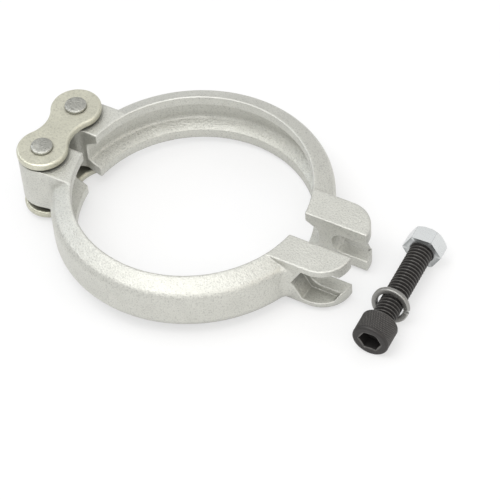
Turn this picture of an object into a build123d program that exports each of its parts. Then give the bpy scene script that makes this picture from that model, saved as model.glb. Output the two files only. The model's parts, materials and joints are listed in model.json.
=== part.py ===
from build123d import *
import os
from math import sqrt

# Hinged two-piece ring clamp for a pipe flange joint, in millimetres.
# The origin is the centre of the bore, halfway up the ring. +Z is the pipe's
# axis, +X points at the bolt lugs, and the rear half lies on the +Y side.

# Ring section
BORE_RADIUS = 47.75
GROOVE_RADIUS = 53.1
OUTER_RADIUS = 56.5
RING_HEIGHT = 23.5
LIP_FACE = 4.4
GROOVE_FLANK_RISE = 2.9
SHOULDER_LAND = 1.0
SHOULDER_DROP = 3.8
CREASE_RADIUS = 2.4
GROOVE_CORNER_RADIUS = 0.8

# Distance from the mid-plane y = 0 to the end faces of each half
LUG_END_Y = 6.1
HINGE_END_Y = 5.0

# Lugs and hinge arms are flush with the top of the ring and end above its foot
LUG_HEIGHT = 20.75
LUG_TIP_X = 74.3
LUG_FACE_Y = 19.5
LUG_CORNER_RADIUS = 12.4
LUG_INNER_CORNER_RADIUS = 1.2
LUG_RIM_RADIUS = 0.6
ROOT_RADIUS = 4.0

# Slot for the screw, and the hexagonal pocket behind it, which is longer
# towards the tip than a regular hexagon so that the nut can swing in
SCREW_X = 63.8
SCREW_Z = 1.1
SLOT_WIDTH = 9.8
POCKET_ACROSS_FLATS = 15.3
POCKET_STRETCH = 2.7
POCKET_DEPTH = 7.5

# Hinge: a roller-chain style link of one-inch pitch
LINK_PITCH = 25.4
PIN_X = -61.5
PIN_RADIUS = 3.97
PIN_RUNNING_CLEARANCE = 0.08
BARREL_RADIUS = 10.2
ARM_FACE_INSET = 0.9
PLATE_END_RADIUS = 10.4
PLATE_WAIST = 13.4
PLATE_THICKNESS = 3.25
PLATE_EDGE_RADIUS = 1.0
UPPER_PLATE_GAP = 0.7
LOWER_PLATE_GAP = 3.0
PIN_HEAD_RADIUS = 4.5
PIN_HEAD_HEIGHT = 1.5
PIN_HEAD_EDGE_RADIUS = 0.7

# 3/8-16 socket head cap screw, 1 3/4 inches under the head, with its nut
SCREW_RADIUS = 4.76
SCREW_LENGTH = 44.45
SCREW_TIP_CHAMFER = 0.9
HEAD_RADIUS = 7.45
HEAD_HEIGHT = 10.0
HEAD_RIM_CHAMFER = 0.9
SOCKET_ACROSS_FLATS = 7.94
SOCKET_DEPTH = 5.0
NUT_ACROSS_FLATS = 14.29
NUT_THICKNESS = 6.9
NUT_CHAMFER = 0.9
NUT_BORE_CLEARANCE = 0.08
NUT_DISTANCE = 38.8
WASHER_OUTER_RADIUS = 7.75
WASHER_INNER_RADIUS = 5.5
WASHER_THICKNESS = 2.3
WASHER_DISTANCE = 9.6
WASHER_LIFT = 0.3
WASHER_TILT = 11.0
WASHER_CUT_WIDTH = 0.8
WASHER_CUT_TURN = 5.0
WASHER_CUT_SLANT = 35.0

# Where the loose screw lies beside the lugs, under its head
SCREW_SEAT_POINT = (93.6, -19.75, -2.2)
SCREW_LIE_ANGLE = 3.3

# How far a blank runs on into the bore, and a cutter past what it cuts
BLANK_OVERRUN = 10.0
CUT_MARGIN = 5.0
CUT_REACH = 200.0

# How closely an edge must match the size it is looked up by
TOLERANCE = 0.01

PIN_Y = LINK_PITCH / 2
ARM_FACE_Y = PIN_Y + BARREL_RADIUS - ARM_FACE_INSET
RING_HALF = RING_HEIGHT / 2
CREASE_Z = RING_HALF - SHOULDER_DROP
LUG_HALF = LUG_HEIGHT / 2
LUG_MIDDLE_Z = RING_HALF - LUG_HALF
LUG_FOOT_Z = RING_HALF - LUG_HEIGHT
UPPER_PLATE_Z = RING_HALF + UPPER_PLATE_GAP + PLATE_THICKNESS / 2
LOWER_PLATE_Z = LUG_FOOT_Z - LOWER_PLATE_GAP - PLATE_THICKNESS / 2
LINK_MIDDLE_Z = (UPPER_PLATE_Z + LOWER_PLATE_Z) / 2
PIN_SHANK_HALF = (UPPER_PLATE_Z - LOWER_PLATE_Z + PLATE_THICKNESS) / 2


def plate_of(sketch, half_height):
    """A sketch made solid from -half_height to +half_height."""
    return extrude(sketch, amount=half_height, both=True)


def rounded_corner(solid, x, y, radius):
    """A solid whose upright edge nearest to (x, y) is rounded."""
    upright = solid.edges().filter_by(Axis.Z)
    return fillet(upright.sort_by_distance((x, y, 0))[0], radius)


def closed_outline(points):
    return make_face(Polyline(*points, close=True))


def revolved(points):
    """A full turn of an (r, z) outline about the pipe's axis."""
    return revolve(Plane.XZ * closed_outline(points), axis=Axis.Z)


def edges_at(solid, radius, z):
    """The circles of a turned solid with one radius and one height."""
    return [
        edge
        for edge in solid.edges().filter_by(GeomType.CIRCLE)
        if abs(edge.radius - radius) < TOLERANCE and abs(abs(edge.arc_center.Z) - z) < TOLERANCE
    ]


def ring_blank():
    """The solid outside of the ring: two sloping shoulders and a wall."""
    inside = BORE_RADIUS - BLANK_OVERRUN
    land = BORE_RADIUS + SHOULDER_LAND
    outside = [
        (inside, -RING_HALF),
        (land, -RING_HALF),
        (OUTER_RADIUS, -CREASE_Z),
        (OUTER_RADIUS, CREASE_Z),
        (land, RING_HALF),
        (inside, RING_HALF),
    ]
    blank = revolved(outside)
    return fillet(edges_at(blank, OUTER_RADIUS, CREASE_Z), CREASE_RADIUS)


def ring_inside():
    """All that is cut from the middle: the bore and the flange groove."""
    flank_start = RING_HALF - LIP_FACE
    flank_end = flank_start - GROOVE_FLANK_RISE
    reach = RING_HALF + CUT_MARGIN
    outline = [
        (0, -reach),
        (BORE_RADIUS, -reach),
        (BORE_RADIUS, -flank_start),
        (GROOVE_RADIUS, -flank_end),
        (GROOVE_RADIUS, flank_end),
        (BORE_RADIUS, flank_start),
        (BORE_RADIUS, reach),
        (0, reach),
    ]
    cutter = revolved(outline)
    return fillet(edges_at(cutter, GROOVE_RADIUS, flank_end), GROOVE_CORNER_RADIUS)


def lug_block(half_height):
    """The lug from above: square at the split, well rounded outside."""
    root_x = BORE_RADIUS - BLANK_OVERRUN
    plan = closed_outline([
        (root_x, LUG_END_Y),
        (LUG_TIP_X, LUG_END_Y),
        (LUG_TIP_X, LUG_FACE_Y),
        (root_x, LUG_FACE_Y),
    ])
    block = plate_of(plan, half_height)
    block = rounded_corner(block, LUG_TIP_X, LUG_FACE_Y, LUG_CORNER_RADIUS)
    return rounded_corner(block, LUG_TIP_X, LUG_END_Y, LUG_INNER_CORNER_RADIUS)


def arm_block(half_height):
    """The hinge arm from above: a block that ends in the pin's barrel."""
    root_x = -(BORE_RADIUS - BLANK_OVERRUN)
    plan = closed_outline([
        (root_x, HINGE_END_Y),
        (PIN_X, HINGE_END_Y),
        (PIN_X, ARM_FACE_Y),
        (root_x, ARM_FACE_Y),
    ])
    barrel = Pos(PIN_X, PIN_Y, 0) * Cylinder(BARREL_RADIUS, 2 * half_height)
    return plate_of(plan, half_height) + barrel


def wall_blank():
    """Ring wall, lug and arm in one, with the corners between them filled."""
    half_height = CREASE_Z - CREASE_RADIUS / 2
    wall = Cylinder(OUTER_RADIUS, 2 * half_height)
    wall += lug_block(half_height)
    wall += arm_block(half_height)
    lug_root = sqrt(OUTER_RADIUS**2 - LUG_FACE_Y**2)
    arm_root = -sqrt(OUTER_RADIUS**2 - ARM_FACE_Y**2)
    wall = rounded_corner(wall, lug_root, LUG_FACE_Y, ROOT_RADIUS)
    return rounded_corner(wall, arm_root, ARM_FACE_Y, ROOT_RADIUS)


def screw_slot():
    """A slot through the lug, open at the tip, with a round inner end."""
    place = Pos(SCREW_X, 0, SCREW_Z)
    slot_end = place * Rot(90, 0, 0) * Cylinder(SLOT_WIDTH / 2, CUT_REACH)
    length = LUG_TIP_X + CUT_MARGIN - SCREW_X
    opening = place * Pos(length / 2, 0, 0) * Box(length, CUT_REACH, SLOT_WIDTH)
    return slot_end + opening


def nut_pocket():
    """A long hexagon sunk into the lug's outer face, two corners along X."""
    half_flats = POCKET_ACROSS_FLATS / 2
    corner = POCKET_ACROSS_FLATS / sqrt(3)
    outline = closed_outline([
        (-corner, 0),
        (-corner / 2, half_flats),
        (corner / 2 + POCKET_STRETCH, half_flats),
        (corner + POCKET_STRETCH, 0),
        (corner / 2 + POCKET_STRETCH, -half_flats),
        (-corner / 2, -half_flats),
    ])
    floor_point = (SCREW_X, LUG_FACE_Y - POCKET_DEPTH, SCREW_Z)
    plane = Plane(origin=floor_point, x_dir=(1, 0, 0), z_dir=(0, 1, 0))
    return extrude(plane * outline, amount=POCKET_DEPTH + CUT_MARGIN)


def worn_lug():
    """The lug at full height, its outer top and bottom edges worn round."""
    lug = lug_block(LUG_HALF)
    rims = [
        edge
        for edge in lug.edges()
        if abs(abs(edge.center().Z) - LUG_HALF) < TOLERANCE
        and edge.center().X > BORE_RADIUS
        and edge.center().Y > LUG_END_Y + LUG_INNER_CORNER_RADIUS / 2
    ]
    return fillet(rims, LUG_RIM_RADIUS)


def half_ring():
    """The rear casting. The front one is its mirror image."""
    body = ring_blank() + wall_blank()
    body += Pos(0, 0, LUG_MIDDLE_Z) * worn_lug()
    body += Pos(0, 0, LUG_MIDDLE_Z) * arm_block(LUG_HALF)
    body -= ring_inside()
    lug_side = Pos(CUT_REACH / 2, LUG_END_Y - CUT_REACH / 2, 0)
    body -= lug_side * Box(CUT_REACH, CUT_REACH, CUT_REACH)
    hinge_side = Pos(-CUT_REACH / 2, HINGE_END_Y - CUT_REACH / 2, 0)
    body -= hinge_side * Box(CUT_REACH, CUT_REACH, CUT_REACH)
    barrel = Pos(PIN_X, PIN_Y, LUG_MIDDLE_Z) * Cylinder(BARREL_RADIUS, LUG_HEIGHT)
    body += barrel - ring_inside()
    bore_radius = PIN_RADIUS + PIN_RUNNING_CLEARANCE
    body -= Pos(PIN_X, PIN_Y, 0) * Cylinder(bore_radius, CUT_REACH)
    body -= screw_slot()
    body -= nut_pocket()
    return body.solids().sort_by(SortBy.VOLUME)[-1]


def link_plate():
    """A waisted link plate centred between the pins, lying at z = 0."""
    # Each side of the waist is one circle that touches both end circles.
    half_waist = PLATE_WAIST / 2
    end_gap = PLATE_END_RADIUS - half_waist
    waist_radius = (PIN_Y**2 + half_waist**2 - PLATE_END_RADIUS**2) / (2 * end_gap)
    waist_x = half_waist + waist_radius
    touch = waist_radius / (waist_radius + PLATE_END_RADIUS)
    outline = Rectangle(2 * waist_x * (1 - touch), 2 * PIN_Y * touch)
    for side in (1, -1):
        outline += Pos(0, side * PIN_Y) * Circle(PLATE_END_RADIUS)
    for side in (1, -1):
        outline -= Pos(side * waist_x, 0) * Circle(waist_radius)
        outline -= Pos(0, side * PIN_Y) * Circle(PIN_RADIUS)
    plate = plate_of(outline, PLATE_THICKNESS / 2)
    rims = [edge for edge in plate.edges() if is_outer_rim(edge)]
    return fillet(rims, PLATE_EDGE_RADIUS)


def is_outer_rim(edge):
    """Whether an edge of the link plate lies on its outline's top or bottom."""
    at_face = abs(abs(edge.center().Z) - PLATE_THICKNESS / 2) < TOLERANCE
    at_hole = edge.geom_type == GeomType.CIRCLE and abs(edge.radius - PIN_RADIUS) < TOLERANCE
    return at_face and not at_hole


def hinge_pin():
    """A riveted pin, centred: a plain shank with a low head at each end."""
    pin = Cylinder(PIN_RADIUS, 2 * PIN_SHANK_HALF)
    for side in (1, -1):
        z = side * (PIN_SHANK_HALF + PIN_HEAD_HEIGHT / 2)
        pin += Pos(0, 0, z) * Cylinder(PIN_HEAD_RADIUS, PIN_HEAD_HEIGHT)
    tips = edges_at(pin, PIN_HEAD_RADIUS, PIN_SHANK_HALF + PIN_HEAD_HEIGHT)
    return fillet(tips, PIN_HEAD_EDGE_RADIUS)


def on_screw_axis(distance):
    """The place a given distance along the screw from under its head."""
    return Pos(*SCREW_SEAT_POINT) * Rot(0, 0, SCREW_LIE_ANGLE) * Rot(-90, 0, 0) * Pos(0, 0, distance)


def cap_screw():
    """The screw along +Z, with the underside of its head at z = 0."""
    head = Pos(0, 0, -HEAD_HEIGHT / 2) * Cylinder(HEAD_RADIUS, HEAD_HEIGHT)
    head = chamfer(edges_at(head, HEAD_RADIUS, HEAD_HEIGHT), HEAD_RIM_CHAMFER)
    socket = RegularPolygon(SOCKET_ACROSS_FLATS / 2, 6, major_radius=False)
    head -= Pos(0, 0, -HEAD_HEIGHT) * extrude(socket, amount=SOCKET_DEPTH)
    shank = Pos(0, 0, SCREW_LENGTH / 2) * Cylinder(SCREW_RADIUS, SCREW_LENGTH)
    shank = chamfer(edges_at(shank, SCREW_RADIUS, SCREW_LENGTH), SCREW_TIP_CHAMFER)
    return head + shank


def lock_washer():
    """A split washer about Z, centred on the origin."""
    washer = Cylinder(WASHER_OUTER_RADIUS, WASHER_THICKNESS)
    washer -= Cylinder(WASHER_INNER_RADIUS, WASHER_THICKNESS)
    middle = (WASHER_OUTER_RADIUS + WASHER_INNER_RADIUS) / 2
    gap = Box(WASHER_OUTER_RADIUS, WASHER_CUT_WIDTH, 3 * WASHER_THICKNESS)
    cut_place = Rot(0, 0, WASHER_CUT_TURN) * Pos(middle, 0, 0) * Rot(WASHER_CUT_SLANT, 0, 0)
    return washer - cut_place * gap


def hex_nut():
    """The nut along +Z, its near face at z = 0 and its far corners cut back."""
    hexagon = RegularPolygon(NUT_ACROSS_FLATS / 2, 6, major_radius=False)
    nut = extrude(hexagon, amount=NUT_THICKNESS)
    corner_radius = NUT_ACROSS_FLATS / sqrt(3)
    round_blank = Pos(0, 0, NUT_THICKNESS / 2) * Cylinder(corner_radius, NUT_THICKNESS)
    far_rim = round_blank.edges().filter_by(GeomType.CIRCLE).sort_by(Axis.Z)[-1]
    nut &= chamfer(far_rim, NUT_CHAMFER)
    return nut - Cylinder(SCREW_RADIUS + NUT_BORE_CLEARANCE, 4 * NUT_THICKNESS)


def assembly():
    rear_half = half_ring()
    front_half = mirror(rear_half, about=Plane.XZ)
    # The washer hangs on the screw with its foot nearer to the head.
    washer_place = on_screw_axis(WASHER_DISTANCE) * Pos(0, -WASHER_LIFT, 0) * Rot(-WASHER_TILT, 0, 0)
    return {
        "rear_half": rear_half,
        "front_half": front_half,
        "upper_link_plate": Pos(PIN_X, 0, UPPER_PLATE_Z) * link_plate(),
        "lower_link_plate": Pos(PIN_X, 0, LOWER_PLATE_Z) * link_plate(),
        "rear_hinge_pin": Pos(PIN_X, PIN_Y, LINK_MIDDLE_Z) * hinge_pin(),
        "front_hinge_pin": Pos(PIN_X, -PIN_Y, LINK_MIDDLE_Z) * hinge_pin(),
        "cap_screw": on_screw_axis(0) * cap_screw(),
        "lock_washer": washer_place * lock_washer(),
        "hex_nut": on_screw_axis(NUT_DISTANCE) * hex_nut(),
    }


os.makedirs("parts", exist_ok=True)
for name, solid in assembly().items():
    solid.label = name
    export_step(solid, f"parts/{name}.step")
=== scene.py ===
import json
import math

import bpy
import numpy as np
from mathutils import Matrix, Vector


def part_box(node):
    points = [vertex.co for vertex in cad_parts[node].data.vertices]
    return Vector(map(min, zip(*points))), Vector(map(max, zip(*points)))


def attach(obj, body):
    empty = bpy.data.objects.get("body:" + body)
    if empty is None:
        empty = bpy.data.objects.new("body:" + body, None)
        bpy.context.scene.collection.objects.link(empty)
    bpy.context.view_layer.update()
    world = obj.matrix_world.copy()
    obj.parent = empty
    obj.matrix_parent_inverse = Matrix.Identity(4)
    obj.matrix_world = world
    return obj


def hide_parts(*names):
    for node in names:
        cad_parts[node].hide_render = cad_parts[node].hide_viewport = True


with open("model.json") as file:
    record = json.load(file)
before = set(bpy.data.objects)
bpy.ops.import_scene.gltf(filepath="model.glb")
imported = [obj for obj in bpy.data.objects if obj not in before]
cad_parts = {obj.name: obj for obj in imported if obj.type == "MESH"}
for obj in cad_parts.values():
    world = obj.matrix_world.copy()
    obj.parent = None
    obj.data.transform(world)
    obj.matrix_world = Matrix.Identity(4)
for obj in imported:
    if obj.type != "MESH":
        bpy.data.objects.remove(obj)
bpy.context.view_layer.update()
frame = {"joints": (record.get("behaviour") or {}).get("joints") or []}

joints = {joint["name"]: joint for joint in frame["joints"]}

# The pieces are worked out in millimetres, and make_object scales them to metres.
# The stage, the lights and the camera are in metres.
MM = 0.001

# Castings
BORE_RADIUS = 47.75
GROOVE_RADIUS = 53.1
OUTER_RADIUS = 56.5
RING_HALF = 11.75
LIP_FACE = 4.4
FLANK_RISE = 2.9
SHOULDER_LAND = 1.0
SHOULDER_DROP = 3.8
CREASE_RADIUS = 2.4
LUG_END_Y = 6.1
HINGE_END_Y = 5.0
LUG_HALF = 10.375
LUG_MIDDLE_Z = 1.375
LUG_TIP_X = 74.3
LUG_FACE_Y = 19.5
LUG_CORNER_RADIUS = 12.4
SCREW_X = 63.8
SCREW_Z = 1.1
SLOT_WIDTH = 9.8
POCKET_ACROSS_FLATS = 15.3
POCKET_STRETCH = 2.7
POCKET_DEPTH = 7.5
BARREL_RADIUS = 10.2
ARM_FACE_INSET = 0.9
OVERLAP = 10.0

# Castings: how far edges and inner corners are rounded
RIM_EDGE = 0.5
ARM_EDGE = 0.45
LIP_EDGE = 0.4
END_EDGE = 0.35
SLOT_EDGE = 0.3
HOLE_EDGE = 0.3
POCKET_EDGE = 0.25
BARREL_EDGE = 0.6
BARREL_ROOT = 0.8
GROOVE_CORNER = 0.9
ROOT_AT_SHOULDER = 0.15
ROOT_ON_WALL = 3.55

# Castings: height of the skin's pebbles and waves
PEBBLE_HEIGHT = 0.014
WAVE_HEIGHT = 0.022

# Field meshes: steps that pull the vertices onto the surface
PULL_STEPS = 4
PULL_SHARE = 0.9

# Link and pins
PLATE_END_RADIUS = 10.4
PLATE_WAIST = 13.4
PLATE_THICKNESS = 3.25
PIN_RADIUS = 3.97
PIN_HEAD_RADIUS = 4.5
PIN_CLEARANCE = 0.08
PIN_FIT = 0.02
PIN_HEAD_HEIGHT = 1.5
PIN_RIM_ROUND = 0.7
PIN_DOME_RISE = 0.18
PLATE_EDGE = 1.1
PLATE_HOLE_EDGE = 0.25

# Screw set
THREAD_PITCH = 25.4 / 16
THREAD_CREST_RADIUS = 4.74
THREAD_DEPTH = 0.92
THREAD_ROOT_SHARE = 0.14
THREAD_FLANK_SHARE = 0.72
THREAD_START = 0.4
TIP_CHAMFER = 1.0
SCREW_LENGTH = 44.45
HEAD_RADIUS = 7.45
HEAD_HEIGHT = 10.0
HEAD_RIM = 1.0
SOCKET_ACROSS_FLATS = 7.94
SOCKET_DEPTH = 5.0
SOCKET_CONE = 0.8
KNURL_RIDGES = 64
KNURL_TURNS_PER_MM = 0.75
KNURL_DEPTH = 0.2
NUT_ACROSS_FLATS = 14.29
NUT_THICKNESS = 6.9
NUT_DISTANCE = 38.8
NUT_BORE_RELIEF = 0.45
NUT_THREAD_GAP = 0.06
WASHER_OUTER_RADIUS = 7.75
WASHER_INNER_RADIUS = 5.5
WASHER_THICKNESS = 2.3
WASHER_DISTANCE = 9.6
WASHER_LIFT = 0.3
WASHER_TILT = 11.0
WASHER_CUT_WIDTH = 0.8
WASHER_CUT_TURN = 5.0
WASHER_CORNER = 0.55
WASHER_SPRING = 0.4
WASHER_CUT_LEAN = 0.05

rear_pin = Vector(joints["link_rear_hinge"]["pos_m"]) / MM
front_pin = Vector(joints["link_front_hinge"]["pos_m"]) / MM
screw_seat = Vector(joints["screw_turn"]["pos_m"])
screw_axis = Vector(joints["screw_turn"]["axis"]).normalized()


# ---------------------------------------------------------------- shape fields

def round_max(a, b, radius):
    """Where two shapes overlap, with the edge between them rounded."""
    lift = np.hypot(np.maximum(a + radius, 0), np.maximum(b + radius, 0))
    return np.minimum(np.maximum(a, b), -radius) + lift


def round_min(a, b, radius):
    """Two shapes joined, with the corner between them filled."""
    return -round_max(-a, -b, radius)


def smooth_step(value, start, end):
    """A smooth rise from 0 at start to 1 at end."""
    t = np.clip((value - start) / (end - start), 0, 1)
    return t * t * (3 - 2 * t)


def ring_outside(r, height):
    """Distance outside the ring's sloping shoulders and its wall."""
    land = BORE_RADIUS + SHOULDER_LAND
    run = OUTER_RADIUS - land
    slope = math.hypot(run, SHOULDER_DROP)
    shoulder = ((r - land) * SHOULDER_DROP + (height - RING_HALF) * run) / slope
    blank = round_max(r - OUTER_RADIUS, shoulder, CREASE_RADIUS)
    return round_max(blank, height - RING_HALF, RIM_EDGE)


def ring_inside(r, height):
    """Distance outside the bore and the V-sided groove behind the lips."""
    start = RING_HALF - LIP_FACE
    depth = GROOVE_RADIUS - BORE_RADIUS
    slope = math.hypot(depth, FLANK_RISE)
    flank = ((height - start) * depth + (r - BORE_RADIUS) * FLANK_RISE) / slope
    groove = round_max(r - GROOVE_RADIUS, flank, GROOVE_CORNER)
    return -round_max(BORE_RADIUS - r, -groove, LIP_EDGE)


def lug_field(x, y, height):
    """Distance outside the lug, whose far tip has one large round corner."""
    right = x - (LUG_TIP_X - LUG_CORNER_RADIUS)
    back = y - (LUG_FACE_Y - LUG_CORNER_RADIUS)
    rounded = np.hypot(right, back) - LUG_CORNER_RADIUS
    square = np.maximum(x - LUG_TIP_X, y - LUG_FACE_Y)
    plan = np.where((right > 0) & (back > 0), rounded, square)
    plan = np.maximum(plan, BORE_RADIUS - OVERLAP - x)
    return round_max(plan, height - LUG_HALF, RIM_EDGE)


def arm_field(x, y, height):
    """Distance outside the arm between the ring and the hinge barrel."""
    face_y = rear_pin.y + BARREL_RADIUS - ARM_FACE_INSET
    plan = np.maximum(y - face_y, rear_pin.x - x)
    plan = np.maximum(plan, x + BORE_RADIUS - OVERLAP)
    return round_max(plan, height - LUG_HALF, ARM_EDGE)


def slot_field(x, height):
    """Distance outside the screw's slot, open at the lug's tip."""
    inner_end = np.hypot(x - SCREW_X, height)
    return np.where(x < SCREW_X, inner_end, height) - SLOT_WIDTH / 2


def pocket_field(x, y, height):
    """Distance outside the nut's stretched hexagonal pocket."""
    along = x - SCREW_X - np.clip(x - SCREW_X, 0, POCKET_STRETCH)
    slant = height * 0.5 + np.abs(along) * math.cos(math.pi / 6)
    hexagon = np.maximum(height, slant) - POCKET_ACROSS_FLATS / 2
    return np.maximum(hexagon, LUG_FACE_Y - POCKET_DEPTH - y)


def casting_field(p):
    """Distance outside the rear casting, which mirrors the front one."""
    x, y, z = p[..., 0], p[..., 1], p[..., 2]
    r, height = np.hypot(x, y), np.abs(z)
    lug_height, slot_height = np.abs(z - LUG_MIDDLE_Z), np.abs(z - SCREW_Z)
    # The roots of lug and arm are filled on the wall and crisp on the shoulder.
    wall = smooth_step(-height, -9.5, -6.5)
    fill = ROOT_AT_SHOULDER + (ROOT_ON_WALL - ROOT_AT_SHOULDER) * wall
    body = round_min(ring_outside(r, height), lug_field(x, y, lug_height), fill)
    body = round_min(body, arm_field(x, y, lug_height), fill)
    end_y = np.where(x > 0, LUG_END_Y, HINGE_END_Y)
    body = round_max(body, end_y - y, END_EDGE)
    barrel = np.hypot(x - rear_pin.x, y - rear_pin.y)
    boss = round_max(barrel - BARREL_RADIUS, lug_height - LUG_HALF, BARREL_EDGE)
    body = round_min(body, boss, BARREL_ROOT)
    # The fillets would swell where the flat tops meet, so the tops are cut flush.
    body = np.maximum(body, height - RING_HALF)
    body = round_max(body, -ring_inside(r, height), LIP_EDGE)
    # Slot and pocket cut the lug only, so they are moved out of reach elsewhere.
    away = np.where(x > 0, 0, BORE_RADIUS)
    body = round_max(body, -slot_field(x, slot_height) - away, SLOT_EDGE)
    body = round_max(body, -pocket_field(x, y, slot_height) - away, POCKET_EDGE)
    return round_max(body, PIN_RADIUS + PIN_CLEARANCE - barrel, HOLE_EDGE)


def link_plate_field(p):
    """Distance outside a waisted plate centred between the pins."""
    x, y, height = np.abs(p[..., 0]), np.abs(p[..., 1]), np.abs(p[..., 2])
    pin_y = rear_pin.y
    half_waist = PLATE_WAIST / 2
    end_gap = PLATE_END_RADIUS - half_waist
    waist_radius = (pin_y**2 + half_waist**2 - PLATE_END_RADIUS**2) / (2 * end_gap)
    waist_x = half_waist + waist_radius
    end = np.hypot(x, y - pin_y) - PLATE_END_RADIUS
    waist = waist_radius - np.hypot(x - waist_x, y)
    # The waist's circle rules on its side of the line joining both centres.
    in_waist = (waist_x - x) * pin_y > y * waist_x
    outline = np.where(in_waist, waist, end)
    hole = PIN_RADIUS + PIN_FIT - np.hypot(x, y - pin_y)
    plate = round_max(outline, height - PLATE_THICKNESS / 2, PLATE_EDGE)
    return round_max(plate, hole, PLATE_HOLE_EDGE)


# ---------------------------------------------------------------- meshes

def grid_points(low, high, cell):
    """A grid round a box with two cells to spare, and its three axes."""
    axes = [np.arange(a - 2 * cell, b + 2 * cell, cell) for a, b in zip(low, high)]
    grid = np.stack(np.meshgrid(*axes, indexing="ij"), axis=-1)
    return axes, grid


def surface_net(field, low, high, cell):
    """Vertices and quads of a field's zero surface, then pulled onto it."""
    axes, grid = grid_points(low, high, cell)
    value = field(grid)
    inside = value < 0
    shape = np.array(inside.shape) - 1
    total = np.zeros(tuple(shape) + (3,))
    count = np.zeros(tuple(shape))
    # Each grid edge with its ends on both sides, shared by the four cells beside it
    crossings = []
    for axis in range(3):
        first = [slice(None)] * 3
        second = [slice(None)] * 3
        first[axis], second[axis] = slice(None, -1), slice(1, None)
        a, b = value[tuple(first)], value[tuple(second)]
        changed = inside[tuple(first)] != inside[tuple(second)]
        index = np.argwhere(changed)
        share = (a / np.where(changed, a - b, 1))[changed]
        place = index.astype(float)
        place[:, axis] += share
        crossings.append((axis, index, inside[tuple(first)][changed]))
        others = [other for other in range(3) if other != axis]
        for back_a in (0, 1):
            for back_b in (0, 1):
                cells = index.copy()
                cells[:, others[0]] -= back_a
                cells[:, others[1]] -= back_b
                fits = ((cells >= 0) & (cells < shape)).all(axis=1)
                keys = tuple(cells[fits].T)
                np.add.at(total, keys, place[fits])
                np.add.at(count, keys, 1)
    # One vertex in each cell that the surface crosses, amid its crossings
    used = count > 0
    number = np.full(tuple(shape), -1)
    number[used] = np.arange(used.sum())
    origin = np.array([axis[0] for axis in axes])
    points = total[used] / count[used][:, None] * cell + origin
    # One quad round each crossed grid edge, through the four cells beside it
    quads = []
    for axis, index, starts_inside in crossings:
        b, c = (axis + 1) % 3, (axis + 2) % 3
        corners = []
        for step_b, step_c in ((1, 1), (0, 1), (0, 0), (1, 0)):
            cells = index.copy()
            cells[:, b] -= step_b
            cells[:, c] -= step_c
            corners.append(number[tuple(cells.T)])
        quad = np.stack(corners, axis=1)
        quad[~starts_inside] = quad[~starts_inside][:, ::-1]
        quads.append(quad)
    for _ in range(PULL_STEPS):
        normal, size = field_slope(field, points)
        points -= normal * (field(points) / size)[:, None] * PULL_SHARE
    return points, np.concatenate(quads)


def field_slope(field, points, step=0.05):
    """The outward direction of a field at some points, and its steepness."""
    slope = np.empty_like(points)
    for axis in range(3):
        offset = np.zeros(3)
        offset[axis] = step
        slope[:, axis] = (field(points + offset) - field(points - offset)) / (2 * step)
    size = np.maximum(np.linalg.norm(slope, axis=1), 0.2)
    return slope / size[:, None], size


def lattice_noise(points, scale, seed):
    """Smooth noise from -1 to 1 with bumps about one scale across."""
    p = points / scale + seed * 17.13
    base = np.floor(p).astype(np.int64)
    part = p - base
    part = part * part * (3 - 2 * part)
    total = np.zeros(len(points))
    for corner in np.ndindex(2, 2, 2):
        # Large primes mix a lattice point's three numbers into its own height.
        node = base + np.array(corner)
        mixed = node[:, 0] * 73856093 ^ node[:, 1] * 19349663 ^ node[:, 2] * 83492791
        mixed = (mixed ^ (mixed >> 13)) * 1274126177 & 0x7FFFFFFF
        height = (mixed % 65536) / 32767.5 - 1
        weight = np.where(corner, part, 1 - part).prod(axis=1)
        total += height * weight
    return total


def read_array(items, key, width, kind):
    """One property of a mesh's vertices or edges, a row for each."""
    values = np.empty(len(items) * width, dtype=kind)
    items.foreach_get(key, values)
    return values.reshape(-1, width)


def keep_convexity(mesh):
    """Each vertex keeps how far it stands proud of its neighbours."""
    place = read_array(mesh.vertices, "co", 3, np.float32)
    normal = read_array(mesh.vertices, "normal", 3, np.float32)
    ends = read_array(mesh.edges, "vertices", 2, np.int32)
    total, count = np.zeros(len(place)), np.zeros(len(place))
    for start, end in ((ends[:, 0], ends[:, 1]), (ends[:, 1], ends[:, 0])):
        step = place[start] - place[end]
        length = np.maximum(np.linalg.norm(step, axis=1), 1e-9)
        np.add.at(total, start, (step * normal[start]).sum(axis=1) / length)
        np.add.at(count, start, 1)
    convexity = mesh.attributes.new("convexity", "FLOAT", "POINT")
    convexity.data.foreach_set("value", (total / np.maximum(count, 1)).astype(np.float32))


def make_object(name, points, faces, material, body, slot, *nodes):
    """A smooth-shaded piece that rides on a body and replaces some CAD nodes."""
    mesh = bpy.data.meshes.new(name)
    mesh.from_pydata((np.asarray(points) * MM).tolist(), [], [list(f) for f in faces])
    mesh.validate()
    mesh.update()
    keep_convexity(mesh)
    for polygon in mesh.polygons:
        polygon.use_smooth = True
    piece = bpy.data.objects.new(name, mesh)
    bpy.context.scene.collection.objects.link(piece)
    piece.data.materials.append(material)
    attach(piece, body)
    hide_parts(*nodes)
    return piece


def sharpen_edges(piece, degrees):
    """Edges steeper than an angle keep a hard shade."""
    with bpy.context.temp_override(object=piece, selected_editable_objects=[piece]):
        piece.data.set_sharp_from_angle(angle=math.radians(degrees))


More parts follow.
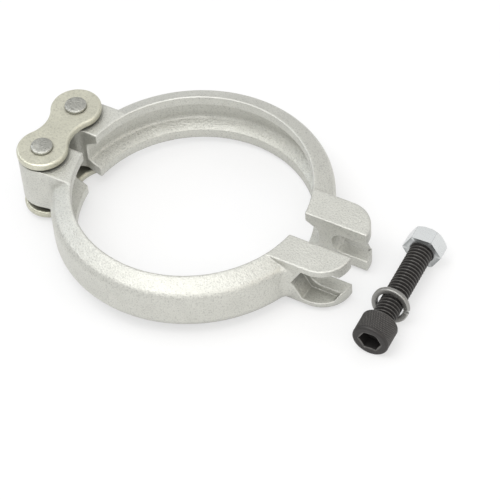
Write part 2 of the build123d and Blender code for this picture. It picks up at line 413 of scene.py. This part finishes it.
def turned(rows, columns, wrap=False):
    """A closed surface from rows of (radii, heights) round the Z axis."""
    angle = np.arange(columns) * 2 * math.pi / columns
    points, faces = [], []
    for radius, height in rows:
        radius = np.broadcast_to(radius, columns)
        height = np.broadcast_to(height, columns)
        ring = np.stack([radius * np.cos(angle), radius * np.sin(angle), height], axis=1)
        points.append(ring)
    points = np.concatenate(points)
    count = len(rows)
    column = np.arange(columns)
    beside = (column + 1) % columns
    for row in range(count if wrap else count - 1):
        above = (row + 1) % count
        faces.append(np.stack([
            row * columns + column,
            row * columns + beside,
            above * columns + beside,
            above * columns + column,
        ], axis=1))
    faces = np.concatenate(faces).tolist()
    if not wrap:
        start, end = len(points), len(points) + 1
        first_height = np.mean(np.broadcast_to(rows[0][1], columns))
        last_height = np.mean(np.broadcast_to(rows[-1][1], columns))
        caps = [[0, 0, first_height], [0, 0, last_height]]
        points = np.concatenate([points, caps])
        last = (count - 1) * columns
        faces += [[start, int(b), int(a)] for a, b in zip(column, beside)]
        faces += [[end, last + int(a), last + int(b)] for a, b in zip(column, beside)]
    return points, faces


def hexagon_radius(across_flats, columns):
    """Radius of a hexagon with a corner on +X, all the way round."""
    angle = np.arange(columns) * 2 * math.pi / columns
    sixth = math.pi / 3
    return across_flats / 2 / np.cos(np.mod(angle, sixth) - sixth / 2)


def thread_radius(distance, columns, grow=0.0):
    """Radius of the right-hand thread all the way round, at one distance."""
    turn = np.arange(columns) / columns
    phase = np.mod(distance / THREAD_PITCH - turn, 1)
    ramp = np.abs(phase - 0.5) * 2
    tooth = np.clip((ramp - THREAD_ROOT_SHARE) / THREAD_FLANK_SHARE, 0, 1)
    # Straight flanks, eased a little where they meet the root and the crest
    tooth = tooth * 0.75 + 0.25 * tooth * tooth * (3 - 2 * tooth)
    return THREAD_CREST_RADIUS + grow - THREAD_DEPTH * (1 - tooth)


def along_screw(points):
    """Points modelled along +Z, with +Y downwards, put on the screw's axis."""
    down = Vector((0, 0, -1))
    lie = np.array([down.cross(screw_axis), down, screw_axis])
    return np.asarray(points) @ lie + np.array(screw_seat) / MM


# ---------------------------------------------------------------- materials

def new_material(name):
    """A node material with its node tree and its main shader."""
    material = bpy.data.materials.new(name)
    material.use_nodes = True
    tree = material.node_tree
    return material, tree, tree.nodes["Principled BSDF"]


def add_node(tree, kind, **values):
    """A node with some of its inputs or settings given by name."""
    node = tree.nodes.new(kind)
    for key, value in values.items():
        if key in node.inputs:
            node.inputs[key].default_value = value
        else:
            setattr(node, key, value)
    return node


def noise_node(tree, place, scale, detail=3.0, rough=0.55):
    node = add_node(tree, "ShaderNodeTexNoise", Scale=scale, Detail=detail, Roughness=rough)
    tree.links.new(place, node.inputs["Vector"])
    return node.outputs["Fac"]


def ramp_node(tree, factor, *stops):
    """A colour ramp through stops of (position, colour)."""
    node = tree.nodes.new("ShaderNodeValToRGB")
    ramp = node.color_ramp
    while len(ramp.elements) < len(stops):
        ramp.elements.new(0.5)
    for element, (position, colour) in zip(ramp.elements, stops):
        element.position = position
        element.color = (*colour, 1)
    tree.links.new(factor, node.inputs["Fac"])
    return node.outputs["Color"]


def grey(value):
    return (value, value, value)


def bump_node(tree, height, strength, distance, normal=None):
    node = add_node(tree, "ShaderNodeBump", Strength=strength, Distance=distance)
    tree.links.new(height, node.inputs["Height"])
    if normal is not None:
        tree.links.new(normal, node.inputs["Normal"])
    return node.outputs["Normal"]


def blend_colour(tree, factor, first, second):
    """One colour fading into another, either of them fixed or from a node."""
    node = add_node(tree, "ShaderNodeMix", data_type="RGBA")
    tree.links.new(factor, node.inputs["Factor"])
    for socket, colour in ((node.inputs[6], first), (node.inputs[7], second)):
        if isinstance(colour, tuple):
            socket.default_value = (*colour, 1)
        else:
            tree.links.new(colour, socket)
    return node.outputs[2]


def edge_mask(tree, start, end):
    """White where the surface is sharply convex."""
    convexity = add_node(tree, "ShaderNodeAttribute", attribute_name="convexity").outputs["Fac"]
    return ramp_node(tree, convexity, (start, grey(0)), (end, grey(1)))


def scaled(colour, share):
    return tuple(share * c for c in colour)


def metal_with_wear_and_painted_light(name, colour, roughness, metallic, grain, depth, mottle=0.9, speckle=0.0,
               edge_wear_and_light=None, edge_wear_and_light_start=0.1, edge_wear_and_light_end=0.3, painted_shade=0.0, painted_shade_reach=0.012):
    """Metal with a fine grain, faint mottling, an edge colour that is partly wear and partly
    painted edge light, and painted shade in hollows.
    """
    material, tree, shader = new_material(name)
    place = tree.nodes.new("ShaderNodeTexCoord").outputs["Object"]
    broad = noise_node(tree, place, 110, 4)
    fine = noise_node(tree, place, grain, 3, 0.65)
    coarse = noise_node(tree, place, grain * 0.6, 2, 0.5)
    tint = ramp_node(tree, broad, (0.35, scaled(colour, mottle)), (0.65, colour))
    if speckle:
        spots = ramp_node(tree, fine, (0.32, grey(speckle)), (0.5, grey(0)))
        tint = blend_colour(tree, spots, tint, scaled(colour, 0.5))
    # Painted edge light: convex edges take the edge colour; where it is lighter than the metal it
    # is edge wear with a painted highlight, where darker a painted dark line.
    if edge_wear_and_light:
        tint = blend_colour(tree, edge_mask(tree, edge_wear_and_light_start, edge_wear_and_light_end), tint, edge_wear_and_light)
    # Painted shade: where the ambient occlusion node finds nearby faces, the base colour darkens
    # towards a third of itself.
    if painted_shade:
        opening = add_node(tree, "ShaderNodeAmbientOcclusion", samples=8, Distance=painted_shade_reach)
        stops = (0.12, grey(painted_shade)), (0.5, grey(painted_shade * 0.4)), (0.85, grey(0))
        shade = ramp_node(tree, opening.outputs["AO"], *stops)
        tint = blend_colour(tree, shade, tint, scaled(colour, 0.35))
    tree.links.new(tint, shader.inputs["Base Color"])
    gloss = ramp_node(tree, fine, (0.3, grey(roughness - 0.07)), (0.7, grey(roughness + 0.07)))
    tree.links.new(gloss, shader.inputs["Roughness"])
    shader.inputs["Metallic"].default_value = metallic
    normal = bump_node(tree, coarse, 0.7, depth * 1.3)
    normal = bump_node(tree, fine, 0.8, depth, normal)
    tree.links.new(normal, shader.inputs["Normal"])
    return material


# ---------------------------------------------------------------- pieces

def build_castings(material):
    """Both halves from one field, each with its own cast skin."""
    cell = 0.42
    low = (rear_pin.x - BARREL_RADIUS, 2.0, -RING_HALF)
    high = (LUG_TIP_X, OUTER_RADIUS, RING_HALF)
    points, faces = surface_net(casting_field, low, high, cell)
    normal, _ = field_slope(casting_field, points)
    for name, body, seed, side in (
        ("casting_rear", "rear_half", 1, 1),
        ("casting_front", "front_half", 2, -1),
    ):
        pebbles = lattice_noise(points, 1.3, seed) + 0.6 * lattice_noise(points, 0.8, seed + 5)
        waves = lattice_noise(points, 9.0, seed + 9)
        height = PEBBLE_HEIGHT * pebbles + WAVE_HEIGHT * waves
        skin = points + normal * height[:, None]
        skin = skin * np.array([1, side, 1])
        make_object(name, skin, faces[:, ::side].tolist(), material, body, "cast_steel", body)


def build_link(material):
    """The two link plates, from one field."""
    cell = 0.3
    for name, node in (("plate_top", "upper_link_plate"), ("plate_bottom", "lower_link_plate")):
        low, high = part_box(node)
        centre = np.array((low + high) / 2) / MM
        half = np.array((high - low) / 2) / MM
        points, faces = surface_net(link_plate_field, -half, half, cell)
        make_object(name, points + centre, faces.tolist(), material, "link", "plated_link", node)


def build_pin(name, node, place, material):
    """A riveted pin: shank, then a low dome with a peened rim at each end."""
    low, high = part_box(node)
    middle = (low.z + high.z) / 2 / MM
    top = high.z / MM - middle
    seat = top - PIN_HEAD_HEIGHT
    columns = 96
    crown = []
    for share in np.linspace(1, 0.06, 10):
        radius = (PIN_HEAD_RADIUS - PIN_RIM_ROUND - 0.05) * share
        crown.append((radius, top - PIN_DOME_RISE * share * share))
    rim = []
    rim_radius, rim_height = PIN_HEAD_RADIUS - PIN_RIM_ROUND, top - PIN_RIM_ROUND - 0.2
    for step in np.linspace(0, math.pi / 2, 6):
        across, rise = PIN_RIM_ROUND * math.cos(step), PIN_RIM_ROUND * math.sin(step)
        rim.append((rim_radius + across, rim_height + rise))
    under = [(PIN_RADIUS, seat - 0.2), (PIN_RADIUS, seat), (PIN_HEAD_RADIUS - 0.05, seat)]
    upper = under + rim + crown
    rows = [(radius, -height) for radius, height in reversed(upper)] + upper
    points, faces = turned(rows, columns)
    points = points + np.array([place.x, place.y, middle])
    make_object(name, points, faces, material, "link", "pin_steel", node)


def socket_rows(columns):
    """The screw's hexagonal socket, its countersunk mouth and the head's rim."""
    rows = []
    hexagon = hexagon_radius(SOCKET_ACROSS_FLATS, columns)
    face = -HEAD_HEIGHT
    floor = face + SOCKET_DEPTH
    for share in (0.1, 0.4, 0.7, 0.95, 1.0):
        rows.append((hexagon * share, floor + SOCKET_CONE * (1 - share)))
    for depth in (3.5, 2.0, 0.6):
        rows.append((hexagon, face + depth))
    mouth = SOCKET_ACROSS_FLATS / 2 / math.cos(math.pi / 6) + 0.12
    rows.append((np.minimum(hexagon + 0.05, mouth), face + 0.35))
    rows.append((np.full(columns, mouth + 0.1), face))
    rim = HEAD_RADIUS - HEAD_RIM
    for radius in (5.3, rim - 0.1):
        rows.append((radius, face))
    for step in np.linspace(0, math.pi / 2, 5):
        rows.append((rim + 0.95 * math.sin(step), face + 0.85 * (1 - math.cos(step))))
    return rows


def knurl_rows(columns):
    """The head's side with its crossed knurl, and the step down to the thread."""
    rows = []
    turn = np.arange(columns) / columns
    side_start, side_end = HEAD_RIM - HEAD_HEIGHT, -0.5
    for height in np.linspace(side_start, side_end, 64):
        ridge, lean = turn * KNURL_RIDGES, height * KNURL_TURNS_PER_MM
        cross_a = np.abs(np.mod(ridge + lean, 1) - 0.5) * 2
        cross_b = np.abs(np.mod(ridge - lean, 1) - 0.5) * 2
        fade = smooth_step(height, side_start, side_start + 0.5)
        fade = fade * smooth_step(-height, -side_end, -side_end + 0.4)
        groove = KNURL_DEPTH * fade * np.maximum(cross_a, cross_b)
        rows.append((HEAD_RADIUS - groove, height))
    rows.append((HEAD_RADIUS - 0.15, -0.12))
    rows.append((HEAD_RADIUS - 0.45, 0.0))
    rows.append((THREAD_CREST_RADIUS + 0.5, 0.0))
    rows.append((THREAD_CREST_RADIUS + 0.12, 0.12))
    return rows


def thread_rows(columns):
    """The thread with its run-out under the head, and the chamfered tip."""
    rows = []
    step = THREAD_PITCH / 10
    for distance in np.arange(THREAD_START, SCREW_LENGTH - 0.05, step):
        radius = thread_radius(distance, columns)
        radius = np.maximum(radius, THREAD_CREST_RADIUS - 2 * (distance - THREAD_START))
        tip = THREAD_CREST_RADIUS - 0.95 + (SCREW_LENGTH - distance) * 0.9
        rows.append((np.minimum(radius, tip), distance))
    tip_radius = THREAD_CREST_RADIUS - TIP_CHAMFER
    for share in (1.0, 0.97, 0.6, 0.2):
        rows.append((tip_radius * share, SCREW_LENGTH - 0.02 + 0.02 * (1 - share)))
    return rows


def build_cap_screw(material):
    """A socket head cap screw, turned from the socket's floor to the tip."""
    columns = 4 * KNURL_RIDGES
    rows = socket_rows(columns) + knurl_rows(columns) + thread_rows(columns)
    points, faces = turned(rows, columns)
    piece = make_object("socket_screw", along_screw(points), faces, material,
                        "cap_screw", "black_oxide", "cap_screw")
    sharpen_edges(piece, degrees=38)


def build_nut(material):
    """A hexagon nut, turned out along its outside and back through its bore."""
    columns = 192
    hexagon = hexagon_radius(NUT_ACROSS_FLATS, columns)
    rows = []
    start, end = NUT_DISTANCE, NUT_DISTANCE + NUT_THICKNESS
    flat = NUT_ACROSS_FLATS / 2
    bore = THREAD_CREST_RADIUS + NUT_BORE_RELIEF
    # Outside: a hexagon whose corners two cones take off, mostly at the far face
    top = NUT_THICKNESS
    near_face = (0, 0.08, 0.2, 0.4, 0.7, 2)
    far_face = (top - 3, top - 1, *np.linspace(top - 0.9, top, 9))
    for height in near_face + far_face:
        near_cone = flat + 0.7 + height * 2.2
        far_cone = flat + 0.2 + (top - height) * 1.1
        outside = np.minimum(hexagon, np.minimum(near_cone, far_cone))
        rows.append((outside, start + height))
    rows.append((bore + 0.1, end))
    rows.append((bore, end - 0.02))
    for distance in np.arange(end - 0.6, start + 0.6, -THREAD_PITCH / 10):
        rows.append((thread_radius(distance, columns, NUT_THREAD_GAP), distance))
    rows.append((bore, start + 0.02))
    rows.append((bore + 0.1, start))
    points, faces = turned(rows, columns, wrap=True)
    piece = make_object("zinc_nut", along_screw(points), faces, material,
                        "hex_nut", "bright_zinc", "hex_nut")
    sharpen_edges(piece, degrees=25)


def build_washer(material):
    """A split washer: a rounded bar bent round, with its ends sprung apart."""
    middle = (WASHER_OUTER_RADIUS + WASHER_INNER_RADIUS) / 2
    half_width = (WASHER_OUTER_RADIUS - WASHER_INNER_RADIUS) / 2
    half_height = WASHER_THICKNESS / 2
    section = []
    centre_x, centre_z = half_width - WASHER_CORNER, half_height - WASHER_CORNER
    for side_x, side_z, begin in ((1, 1, 0), (-1, 1, 90), (-1, -1, 180), (1, -1, 270)):
        for degrees in (0, 30, 60, 90):
            angle = math.radians(begin + degrees)
            across = side_x * centre_x + WASHER_CORNER * math.cos(angle)
            section.append((across, side_z * centre_z + WASHER_CORNER * math.sin(angle)))
    gap = WASHER_CUT_WIDTH / middle
    stations = 120
    points, faces = [], []
    for station in range(stations + 1):
        share = station / stations
        for across, height in section:
            lean = (height / half_height) * WASHER_CUT_LEAN
            turn = gap / 2 + share * (2 * math.pi - gap) + lean
            radius = middle + across
            rise = (share - 0.5) * WASHER_SPRING
            points.append((radius * math.cos(turn), radius * math.sin(turn), height * 0.93 + rise))
    size = len(section)
    for station in range(stations):
        for k in range(size):
            a, b = station * size + k, station * size + (k + 1) % size
            faces.append([a, a + size, b + size, b])
    faces.append(list(range(size)))
    faces.append([stations * size + k for k in reversed(range(size))])
    points = np.array(points)
    spin = Matrix.Rotation(math.radians(WASHER_CUT_TURN), 3, "Z")
    tilt = Matrix.Rotation(math.radians(-WASHER_TILT), 3, "X")
    points = points @ np.array(tilt @ spin).T + np.array([0, -WASHER_LIFT, WASHER_DISTANCE])
    piece = make_object("split_washer", along_screw(points), faces, material,
                        "lock_washer", "spring_steel", "lock_washer")
    sharpen_edges(piece, degrees=40)


# ---------------------------------------------------------------- stage

def build_stage():
    """A pale floor that the pin heads and the rings' lower edges rest on."""
    hinge_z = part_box("front_hinge_pin")[0].z
    ring_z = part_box("rear_half")[0].z
    hinge_x = (rear_pin.x + PIN_HEAD_RADIUS) * MM
    ring_x = (BORE_RADIUS + SHOULDER_LAND) * MM
    slope = (ring_z - hinge_z) / (ring_x - hinge_x)
    reach = 3.0
    corners = [(x, y, hinge_z + (x - hinge_x) * slope) for x, y in (
        (-reach, -reach), (reach, -reach), (reach, reach), (-reach, reach))]
    mesh = bpy.data.meshes.new("floor")
    mesh.from_pydata(corners, [], [(0, 1, 2, 3)])
    floor = bpy.data.objects.new("floor", mesh)
    bpy.context.scene.collection.objects.link(floor)
    material, _, shader = new_material("floor_white")
    shader.inputs["Base Color"].default_value = (*grey(0.38), 1)
    shader.inputs["Roughness"].default_value = 0.9
    shader.inputs["Specular IOR Level"].default_value = 0.1
    shader.inputs["Emission Color"].default_value = (1, 1, 1, 1)
    shader.inputs["Emission Strength"].default_value = 0.55
    mesh.materials.append(material)


def add_light(name, place, size, power, colour):
    data = bpy.data.lights.new(name, "AREA")
    data.size = size
    data.energy = power
    data.color = colour
    light = bpy.data.objects.new(name, data)
    light.location = place
    light.rotation_euler = (-Vector(place)).to_track_quat("-Z", "Y").to_euler()
    bpy.context.scene.collection.objects.link(light)


def build_lights():
    """A soft dome that is brighter overhead, and four area lights."""
    world = bpy.data.worlds.new("studio")
    bpy.context.scene.world = world
    world.use_nodes = True
    tree = world.node_tree
    direction = tree.nodes.new("ShaderNodeTexCoord").outputs["Generated"]
    parts = tree.nodes.new("ShaderNodeSeparateXYZ")
    tree.links.new(direction, parts.inputs["Vector"])
    stops = (0.0, grey(0.5)), (0.6, grey(0.8)), (0.95, grey(0.95))
    sky = ramp_node(tree, parts.outputs["Z"], *stops)
    tree.links.new(sky, tree.nodes["Background"].inputs["Color"])
    tree.nodes["Background"].inputs["Strength"].default_value = 1.0
    add_light("overhead", (-0.2, -0.25, 1.1), 0.8, 4.6, (1.0, 1.0, 1.0))
    add_light("front", (0.55, -0.75, 1.0), 0.5, 3.0, (1.0, 0.99, 0.97))
    add_light("warm_right", (1.0, 0.1, 0.6), 0.35, 1.2, (1.0, 0.9, 0.78))
    add_light("cool_left", (-1.0, 0.1, 0.6), 0.35, 0.9, (0.8, 0.88, 1.0))


# Camera: degrees, then metres and millimetres of lens
CAMERA_AZIMUTH = 33.35
CAMERA_ELEVATION = 48.5
CAMERA_ROLL = 5.1
CAMERA_DISTANCE = 0.974
CAMERA_TARGET = (0.0321, -0.0114, 0.0)
CAMERA_LENS = 180.0


def build_camera():
    """A long lens that looks down on the clamp, slightly rolled."""
    azimuth, elevation = math.radians(CAMERA_AZIMUTH), math.radians(CAMERA_ELEVATION)
    back = Vector((
        math.sin(azimuth) * math.cos(elevation),
        -math.cos(azimuth) * math.cos(elevation),
        math.sin(elevation),
    ))
    data = bpy.data.cameras.new("camera")
    data.lens = CAMERA_LENS
    data.sensor_width = 36
    data.clip_start = 0.05
    data.clip_end = 20
    camera = bpy.data.objects.new("camera", data)
    camera.rotation_mode = "QUATERNION"
    camera.location = Vector(CAMERA_TARGET) + back * CAMERA_DISTANCE
    level = (-back).to_track_quat("-Z", "Y").to_matrix()
    roll = Matrix.Rotation(math.radians(-CAMERA_ROLL), 3, "Z")
    camera.rotation_quaternion = (level @ roll).to_quaternion()
    bpy.context.scene.collection.objects.link(camera)
    bpy.context.scene.camera = camera


# Finishes: grain is in bumps per metre; depth and the reach of the painted shade in hollows are in
# metres.
# Castings: the lighter edge colour is edge wear with a painted highlight; painted shade darkens
# slots, pockets and the faces between the halves.
CAST_METAL = dict(
    colour=(0.66, 0.66, 0.61), roughness=0.45, metallic=0.75, grain=1700, depth=0.0002,
    mottle=0.94, speckle=0.6, edge_wear_and_light=(0.72, 0.72, 0.68), edge_wear_and_light_start=0.12, edge_wear_and_light_end=0.34,
    painted_shade=0.9,
)
# Link plates: the lighter edge colour is edge wear with a painted rim highlight; painted shade
# darkens them round the pins and over the barrels.
PLATED_LINK = dict(
    colour=(0.66, 0.65, 0.54), roughness=0.38, metallic=0.85, grain=1500, depth=0.00013,
    speckle=0.45, edge_wear_and_light=(0.75, 0.74, 0.6), edge_wear_and_light_start=0.03, edge_wear_and_light_end=0.12,
    painted_shade=0.9, painted_shade_reach=0.01,
)
# Pins: the much lighter edge colour is a painted highlight on the rim with a little wear; painted
# shade darkens the base of each head.
PIN_STEEL = dict(
    colour=(0.5, 0.5, 0.455), roughness=0.34, metallic=0.9, grain=1200, depth=0.0003,
    mottle=0.75, speckle=0.75, edge_wear_and_light=(0.8, 0.8, 0.74), edge_wear_and_light_start=0.06, edge_wear_and_light_end=0.2,
    painted_shade=1.0, painted_shade_reach=0.003,
)
# Screw: the lighter edge colour is worn crests with a painted crest highlight; painted shade
# darkens the thread valleys and the socket.
BLACK_OXIDE = dict(
    colour=(0.055, 0.052, 0.05), roughness=0.46, metallic=0.7, grain=1600, depth=0.00003,
    edge_wear_and_light=(0.34, 0.33, 0.31), edge_wear_and_light_start=0.1, edge_wear_and_light_end=0.4, painted_shade=0.8, painted_shade_reach=0.002,
)
# Nut: the darker edge colour is a painted dark line along its corners and chamfer edges; painted
# shade darkens its bore and thread.
BRIGHT_ZINC = dict(
    colour=(0.72, 0.74, 0.74), roughness=0.32, metallic=0.8, grain=1600, depth=0.00003,
    mottle=0.95, edge_wear_and_light=(0.4, 0.42, 0.42), edge_wear_and_light_start=0.1, edge_wear_and_light_end=0.3, painted_shade=0.6,
)
# Washer: the lighter edge colour is edge wear with a painted edge highlight.
SPRING_STEEL = dict(
    colour=(0.29, 0.285, 0.27), roughness=0.36, metallic=0.8, grain=1500, depth=0.00004,
    edge_wear_and_light=(0.46, 0.46, 0.44), edge_wear_and_light_start=0.05, edge_wear_and_light_end=0.2,
)

build_castings(metal_with_wear_and_painted_light("cast_metal", **CAST_METAL))
build_link(metal_with_wear_and_painted_light("plated_link", **PLATED_LINK))
pin_material = metal_with_wear_and_painted_light("pin_steel", **PIN_STEEL)
build_pin("pin_rear", "rear_hinge_pin", rear_pin, pin_material)
build_pin("pin_front", "front_hinge_pin", front_pin, pin_material)
build_cap_screw(metal_with_wear_and_painted_light("black_oxide", **BLACK_OXIDE))
build_nut(metal_with_wear_and_painted_light("bright_zinc", **BRIGHT_ZINC))
build_washer(metal_with_wear_and_painted_light("spring_steel", **SPRING_STEEL))
build_stage()
build_lights()
build_camera()
bpy.context.scene.view_settings.view_transform = "Standard"
